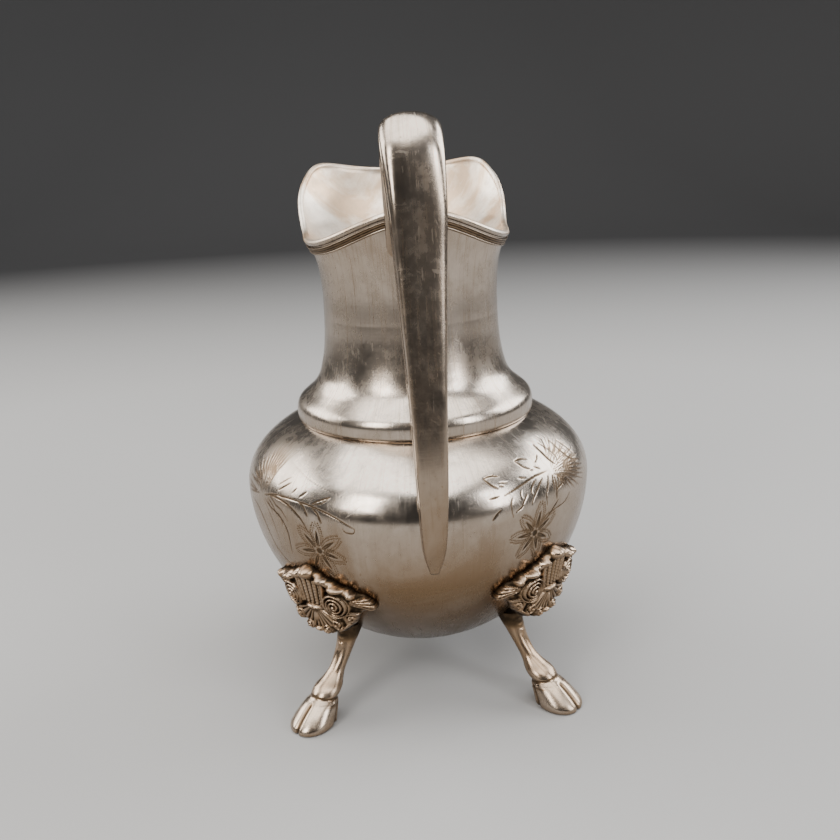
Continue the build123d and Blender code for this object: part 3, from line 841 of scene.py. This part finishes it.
# Right half of the ornament's outline: upper edge and lower edge, as distance sideways and height
UPPER_EDGE = ((0.0, 40.8), (1.3, 40.6), (2.3, 39.7), (3.4, 39.3), (4.8, 38.2), (6.4, 37.8), (8.3, 36.8),
              (10.3, 36.5), (11.7, 35.4), (13.6, 35.1), (14.9, 34.2), (15.9, 33.0), (16.3, 31.9))
LOWER_EDGE = ((0.0, 22.9), (1.6, 22.5), (3.3, 22.7), (4.6, 23.5), (6.0, 23.8), (7.6, 24.4), (9.0, 25.6),
              (10.2, 26.8), (11.0, 28.4), (11.9, 29.6), (13.3, 30.0), (14.8, 30.4), (15.7, 31.0),
              (16.3, 31.7))
# Scrolls of the relief: place, radius, rise, pitch and hand
SCROLLS = (((6.6, 31.8), 3.5, 2.1, 0.84, 1), ((9.4, 28.3), 1.5, 1.5, 0.7, -1),
           ((5.9, 26.3), 1.4, 1.5, 0.7, 1), ((2.7, 24.1), 1.5, 1.7, 0.7, -1))
# Bosses of the relief: place, half width and half height, and rise
BOSSES = (((0, 30.1), (2.9, 0.8), 1.9), ((0, 27.2), (0.8, 1.9), 1.5), ((0, 23.7), (1.5, 0.9), 1.8),
          ((0, 39.1), (2.0, 1.7), 2.6), ((3.5, 37.8), (1.5, 1.2), 2.0), ((7.1, 36.2), (2.3, 1.1), 2.2),
          ((10.6, 35.0), (1.2, 1.3), 1.9))


def boss(side, z, at, size, rise):
    """A round-topped boss, as a height that other relief may stand above."""
    reach = ((side - at[0]) / size[0]) ** 2 + ((z - at[1]) / size[1]) ** 2
    return rise * np.sqrt(np.clip(1 - reach, 0, 1))


def scroll(side, z, at, radius, rise, pitch, hand):
    """A volute: a mound with a spiral groove and a bead for its eye."""
    dx, dz = side - at[0], z - at[1]
    reach = np.hypot(dx, dz)
    spiral = 0.5 - 0.5 * np.cos(2 * math.pi * reach / pitch - hand * np.arctan2(dz, dx))
    mound = rise * smooth_step(radius, radius * 0.86, reach)
    mound = mound * (0.8 + 0.2 * smooth_step(radius, 0, reach))
    groove = 0.62 * np.clip(spiral, 0, 1) ** 1.5 * smooth_step(radius * 0.97, radius * 0.8, reach)
    eye = boss(side, z, at, (pitch * 0.55, pitch * 0.55), rise + 0.25)
    return np.maximum(mound * (1 - groove), eye)


def fan(side, z, at, reach, lobes, rise, low, high):
    """Flutes that spread from a point between two angles."""
    dx, dz = side - at[0], z - at[1]
    distance, angle = np.hypot(dx, dz), np.arctan2(dz, dx)
    share = (angle - low) / (high - low)
    flutes = np.abs(np.sin(math.pi * lobes * share)) ** 0.6
    within = smooth_step(-0.02, 0.04, share) * smooth_step(1.02, 0.96, share)
    within = within * smooth_step(reach, reach * 0.9, distance)
    return within * rise * (0.45 + 0.55 * flutes) * smooth_step(0, reach * 0.2, distance)


def ornament_relief(x, z):
    """How far the cast relief stands out from the mask."""
    side = abs(x)
    relief = np.full(x.shape, 0.3) + 0.12 * np.sin(2.1 * x + 1.3 * z) * np.sin(1.7 * z - 0.9 * side)
    width = 2.5 + 0.09 * (z - 30)
    ribs = np.abs(np.cos(math.pi * x / (width / 1.95))) ** 0.8
    beads = 0.94 + 0.06 * np.cos(2 * math.pi * z / 0.8)
    panel = smooth_step(width + 0.4, width, side)
    panel = panel * smooth_step(30.2, 31.0, z) * smooth_step(38.0, 37.2, z)
    relief = np.maximum(relief, panel * (0.5 + 0.85 * ribs * beads))
    rail = smooth_step(0.6, 0.15, abs(side - width - 0.6))
    rail = rail * smooth_step(30.0, 30.8, z) * smooth_step(38.4, 37.6, z)
    relief = np.maximum(relief, 1.35 * rail)
    drop = np.interp(side, *np.array(UPPER_EDGE).T) - z
    ribbon = np.clip(1 - ((drop - 1.2) / 1.15) ** 2, 0, 1) ** 0.5 * smooth_step(13.2, 11.0, side)
    relief = np.maximum(relief, ribbon * (1.35 + 0.25 * np.cos(2 * math.pi * (side - 0.2) / 3.4)))
    relief = np.maximum(relief, fan(side, z, (8.8, 33.2), 9.2, 4, 1.5, -0.36, 0.30))
    relief = np.maximum(relief, fan(side, z, (7.0, 31.0), 5.6, 4, 1.0, -1.35, -0.3))
    relief = np.maximum(relief, fan(x, z, (0.0, 30.4), 7.0, 11, 1.1, -2.85, -0.29))
    curl = 1.3 * np.clip(1 - ((z - 25.3 - 0.75 * (side - 7.2)) / 0.55) ** 2, 0, 1) ** 0.5
    relief = np.maximum(relief, curl * smooth_step(5.6, 6.4, side) * smooth_step(9.6, 8.6, side))
    for numbers in SCROLLS:
        relief = np.maximum(relief, scroll(side, z, *numbers))
    for numbers in BOSSES:
        relief = np.maximum(relief, boss(side, z, *numbers))
    return relief


def ornament_grid():
    """The mask as a grid: side, height, front and back radius, darkness for patina and painted shade,
    and what is kept.
    """
    half, top, foot = UPPER_EDGE[-1][0], UPPER_EDGE[0][1], min(z for _, z in LOWER_EDGE)
    across, up = np.arange(-half, half + CAST_STEP, CAST_STEP), np.arange(foot, top, CAST_STEP)
    x, z = np.meshgrid(across, up)
    side = abs(x)
    upper, lower = through(UPPER_EDGE, 300), through(LOWER_EDGE, 300)
    over = np.interp(side, upper[:, 0], upper[:, 1]) - z
    under = z - np.interp(side, lower[:, 0], lower[:, 1])
    inside = np.minimum(over, under)
    relief = 1.2 * ornament_relief(x, z)
    # Patina and painted shade in the relief's recesses: darker where the relief lies below its blurred
    # self, and a little darker all over.
    hollow_patina_and_shade = np.clip((softened(relief, 5) - relief) / 0.27 + 0.26, 0, 1)
    bulb = np.interp(z, BULB_Z, BULB_R)
    mask = np.interp(z, (MASK_FOOT[1], MASK_TOP[1]), (MASK_FOOT[0], MASK_TOP[0]))
    wing = smooth_step(6.5, 14.5, side)
    ground = mask - 1.2 + (bulb + 0.55 - mask + 1.2) * wing
    ground = np.maximum(ground, bulb + 0.25)
    rounding = np.sqrt(np.clip(1 - (1 - np.clip(inside / EDGE_ROUNDING, 0, 1)) ** 2, 0, 1))
    front = ground - 0.5 + (relief + 0.5) * rounding
    back = np.maximum(np.minimum(ground - 0.8, front - 0.3), bulb - 0.15)
    return x, z, np.maximum(front, back + 0.05), back, hollow_patina_and_shade, inside > 0


ORNAMENT = ornament_grid()


def make_ornament(place, azimuth, material):
    x, z, front, back, hollow_patina_and_shade, keep = ORNAMENT
    turn = math.radians(azimuth) + x / CAST_BEND_RADIUS
    rows, columns = x.shape
    total = rows * columns
    number = np.arange(total).reshape(rows, columns)
    cell = keep[:-1, :-1] & keep[1:, :-1] & keep[:-1, 1:] & keep[1:, 1:]
    corners = [number[:-1, :-1], number[:-1, 1:], number[1:, 1:], number[1:, :-1]]
    face = np.stack([corner[cell] for corner in corners], -1)
    edges = np.concatenate([face[:, [k, (k + 1) % 4]] for k in range(4)])
    known = {(int(a), int(b)) for a, b in edges}
    rim = np.array([(a, b) for a, b in known if (b, a) not in known])
    rim = rim[np.lexsort((rim[:, 1], rim[:, 0]))]
    walls = np.stack([rim[:, 1], rim[:, 0], rim[:, 0] + total, rim[:, 1] + total], -1)
    faces = np.concatenate([face, face[:, ::-1] + total, walls])
    used = np.unique(faces)
    points = np.concatenate([round_points(radius, turn, z).reshape(-1, 3) for radius in (front, back)])
    # The back and the edge walls are painted dark all through, as painted shade in the gap between the
    # ornament and the bulb.
    shade = np.concatenate([hollow_patina_and_shade.ravel(), np.ones(total)])
    node, slot, faces = f"knee_ornament_{place}", "tarnished_ornament", np.searchsorted(used, faces)
    make_piece(node + "_casting", points[used], faces, [node], material, {"depth": shade[used]})


# ---------------- stage

CAMERA_DISTANCE, CAMERA_HEIGHT = 204.8, 124.0
CAMERA_TURN, CAMERA_PAN, CAMERA_PITCH, CAMERA_ROLL = 3.45, 0.29, 16.46, -2.59
LENS, SENSOR = 36.34, 36.0


def make_camera():
    turn, look = math.radians(CAMERA_TURN), math.radians(CAMERA_TURN + CAMERA_PAN)
    pitch, roll = math.radians(CAMERA_PITCH), math.radians(CAMERA_ROLL)
    place = Vector((-CAMERA_DISTANCE * math.sin(turn), -CAMERA_DISTANCE * math.cos(turn), CAMERA_HEIGHT))
    place = (place + Vector((0, AXIS_Y, 0))) * MM
    flat = math.cos(pitch)
    ahead = Vector((math.sin(look) * flat, math.cos(look) * flat, -math.sin(pitch)))
    right = Vector((math.cos(look), -math.sin(look), 0))
    up = right.cross(ahead)
    right_rolled = right * math.cos(roll) + up * math.sin(roll)
    up_rolled = up * math.cos(roll) - right * math.sin(roll)
    data = bpy.data.cameras.new("camera")
    data.lens, data.sensor_width = LENS, SENSOR
    data.clip_start = 0.01
    camera = bpy.data.objects.new("camera", data)
    axes = Matrix((right_rolled, up_rolled, -ahead)).transposed()
    camera.matrix_world = Matrix.Translation(place) @ axes.to_4x4()
    bpy.context.scene.collection.objects.link(camera)
    bpy.context.scene.camera = camera


# The floor's colour near the jug, and the painted shade it darkens to far away.
FLOOR_NEAR, FLOOR_PAINTED_SHADE_FAR = (0.37, 0.366, 0.362, 1), (0.10, 0.10, 0.102, 1)


def make_floor():
    """A pale floor that sweeps up into a round wall far behind the jug; its colour is painted darker
    with distance from the jug, as painted shade.
    """
    columns = 96
    line = [(0.01, 0.0), (0.4, 0.0), (0.9, 0.0), (1.3, 0.0)]
    bend = [k * math.pi / 16 for k in range(1, 9)]
    line += [(1.3 + 0.4 * math.sin(angle), 0.4 - 0.4 * math.cos(angle)) for angle in bend]
    line.append((1.7, 1.5))
    around = np.linspace(0, 2 * math.pi, columns, endpoint=False)
    rings = [np.stack([r * np.cos(around), r * np.sin(around), z + 0 * around], -1) for r, z in line]
    points = np.concatenate(rings)
    faces = [tuple(int(i) for i in face) for face in grid_faces(len(line), columns)]
    faces.append(tuple(range(columns))[::-1])
    mesh = bpy.data.meshes.new("floor")
    mesh.from_pydata([tuple(point) for point in points], [], faces)
    mesh.polygons.foreach_set("use_smooth", np.ones(len(mesh.polygons), bool))
    m = Nodes("floor_paper_painted_shade")
    place = m.new("ShaderNodeTexCoord").outputs["Object"]
    reach = m.new("ShaderNodeVectorMath", {0: place}, operation="LENGTH").outputs["Value"]
    m.link(m.mix(m.ramp(reach, 0.35, 1.3), FLOOR_NEAR, FLOOR_PAINTED_SHADE_FAR), "Base Color")
    m.shader.inputs["Roughness"].default_value = 0.8
    mesh.materials.append(m.material)
    floor = bpy.data.objects.new("floor", mesh)
    bpy.context.scene.collection.objects.link(floor)


LIT_PLACE = (0, 0, 0.07)


def area_light(name, place, size, power, colour):
    data = bpy.data.lights.new(name, "AREA")
    data.shape = "RECTANGLE"
    data.size, data.size_y = size
    data.energy = power
    data.color = colour
    light = bpy.data.objects.new(name, data)
    way = Vector(LIT_PLACE) - Vector(place)
    light.matrix_world = Matrix.Translation(place) @ way.to_track_quat("-Z", "Y").to_matrix().to_4x4()
    light.visible_camera = False
    bpy.context.scene.collection.objects.link(light)


def make_lights():
    world = bpy.data.worlds.new("studio")
    bpy.context.scene.world = world
    world.use_nodes = True
    world.node_tree.nodes["Background"].inputs[0].default_value = (0.5, 0.5, 0.52, 1)
    world.node_tree.nodes["Background"].inputs[1].default_value = 0.25
    area_light("top_light", (-0.05, -0.1, 1.0), (1.3, 1.1), 17.0, (1.0, 0.985, 0.96))
    area_light("left_light", (-0.42, -0.45, 0.42), (0.24, 0.34), 2.6, (1.0, 0.97, 0.93))
    area_light("right_light", (0.50, -0.42, 0.34), (0.2, 0.40), 2.2, (0.97, 0.98, 1.0))
    area_light("left_rear_light", (-0.8, 0.3, 0.5), (0.7, 0.5), 7.0, (1.0, 0.98, 0.95))
    area_light("right_rear_light", (0.8, 0.25, 0.48), (0.7, 0.5), 7.5, (0.98, 0.99, 1.0))


make_camera()
make_floor()
make_lights()

body_silver = aged_silver("aged_silver_body", rough=0.2, warm=0.25, tint=0.08, shadowed=0.97, cut=True)
neck_silver = aged_silver("aged_silver_neck", rough=0.2, warm=0.6, streaks=0.2, tint=0.12, shadowed=0.5)
trim_silver = aged_silver("aged_silver_trim", dull=0.7, rough=0.25, warm=0.5, relief=True)
handle_silver = aged_silver("aged_silver_handle", rough=0.2, warm=0.5, tint=0.2, shadowed=0.7, low=0.6)
leg_silver = aged_silver("aged_silver_legs", dull=0.7, rough=0.22, warm=0.8, tint=0.75, relief=True)
ornament_silver = aged_silver(
    "aged_silver_ornament", dull=0.7, rough=0.26, warm=0.8, tint=0.72, relief=True
)
mouth_satin = satin_silver("satin_mouth")

make_bulb(body_silver)
make_neck(neck_silver, mouth_satin)
make_moulding(trim_silver)
make_handle(handle_silver)
for leg_place, leg_azimuth in LEG_AZIMUTHS.items():
    make_leg(leg_place, leg_azimuth, leg_silver)
    make_ornament(leg_place, leg_azimuth + ORNAMENT_SLIP.get(leg_place, 0.0), ornament_silver)
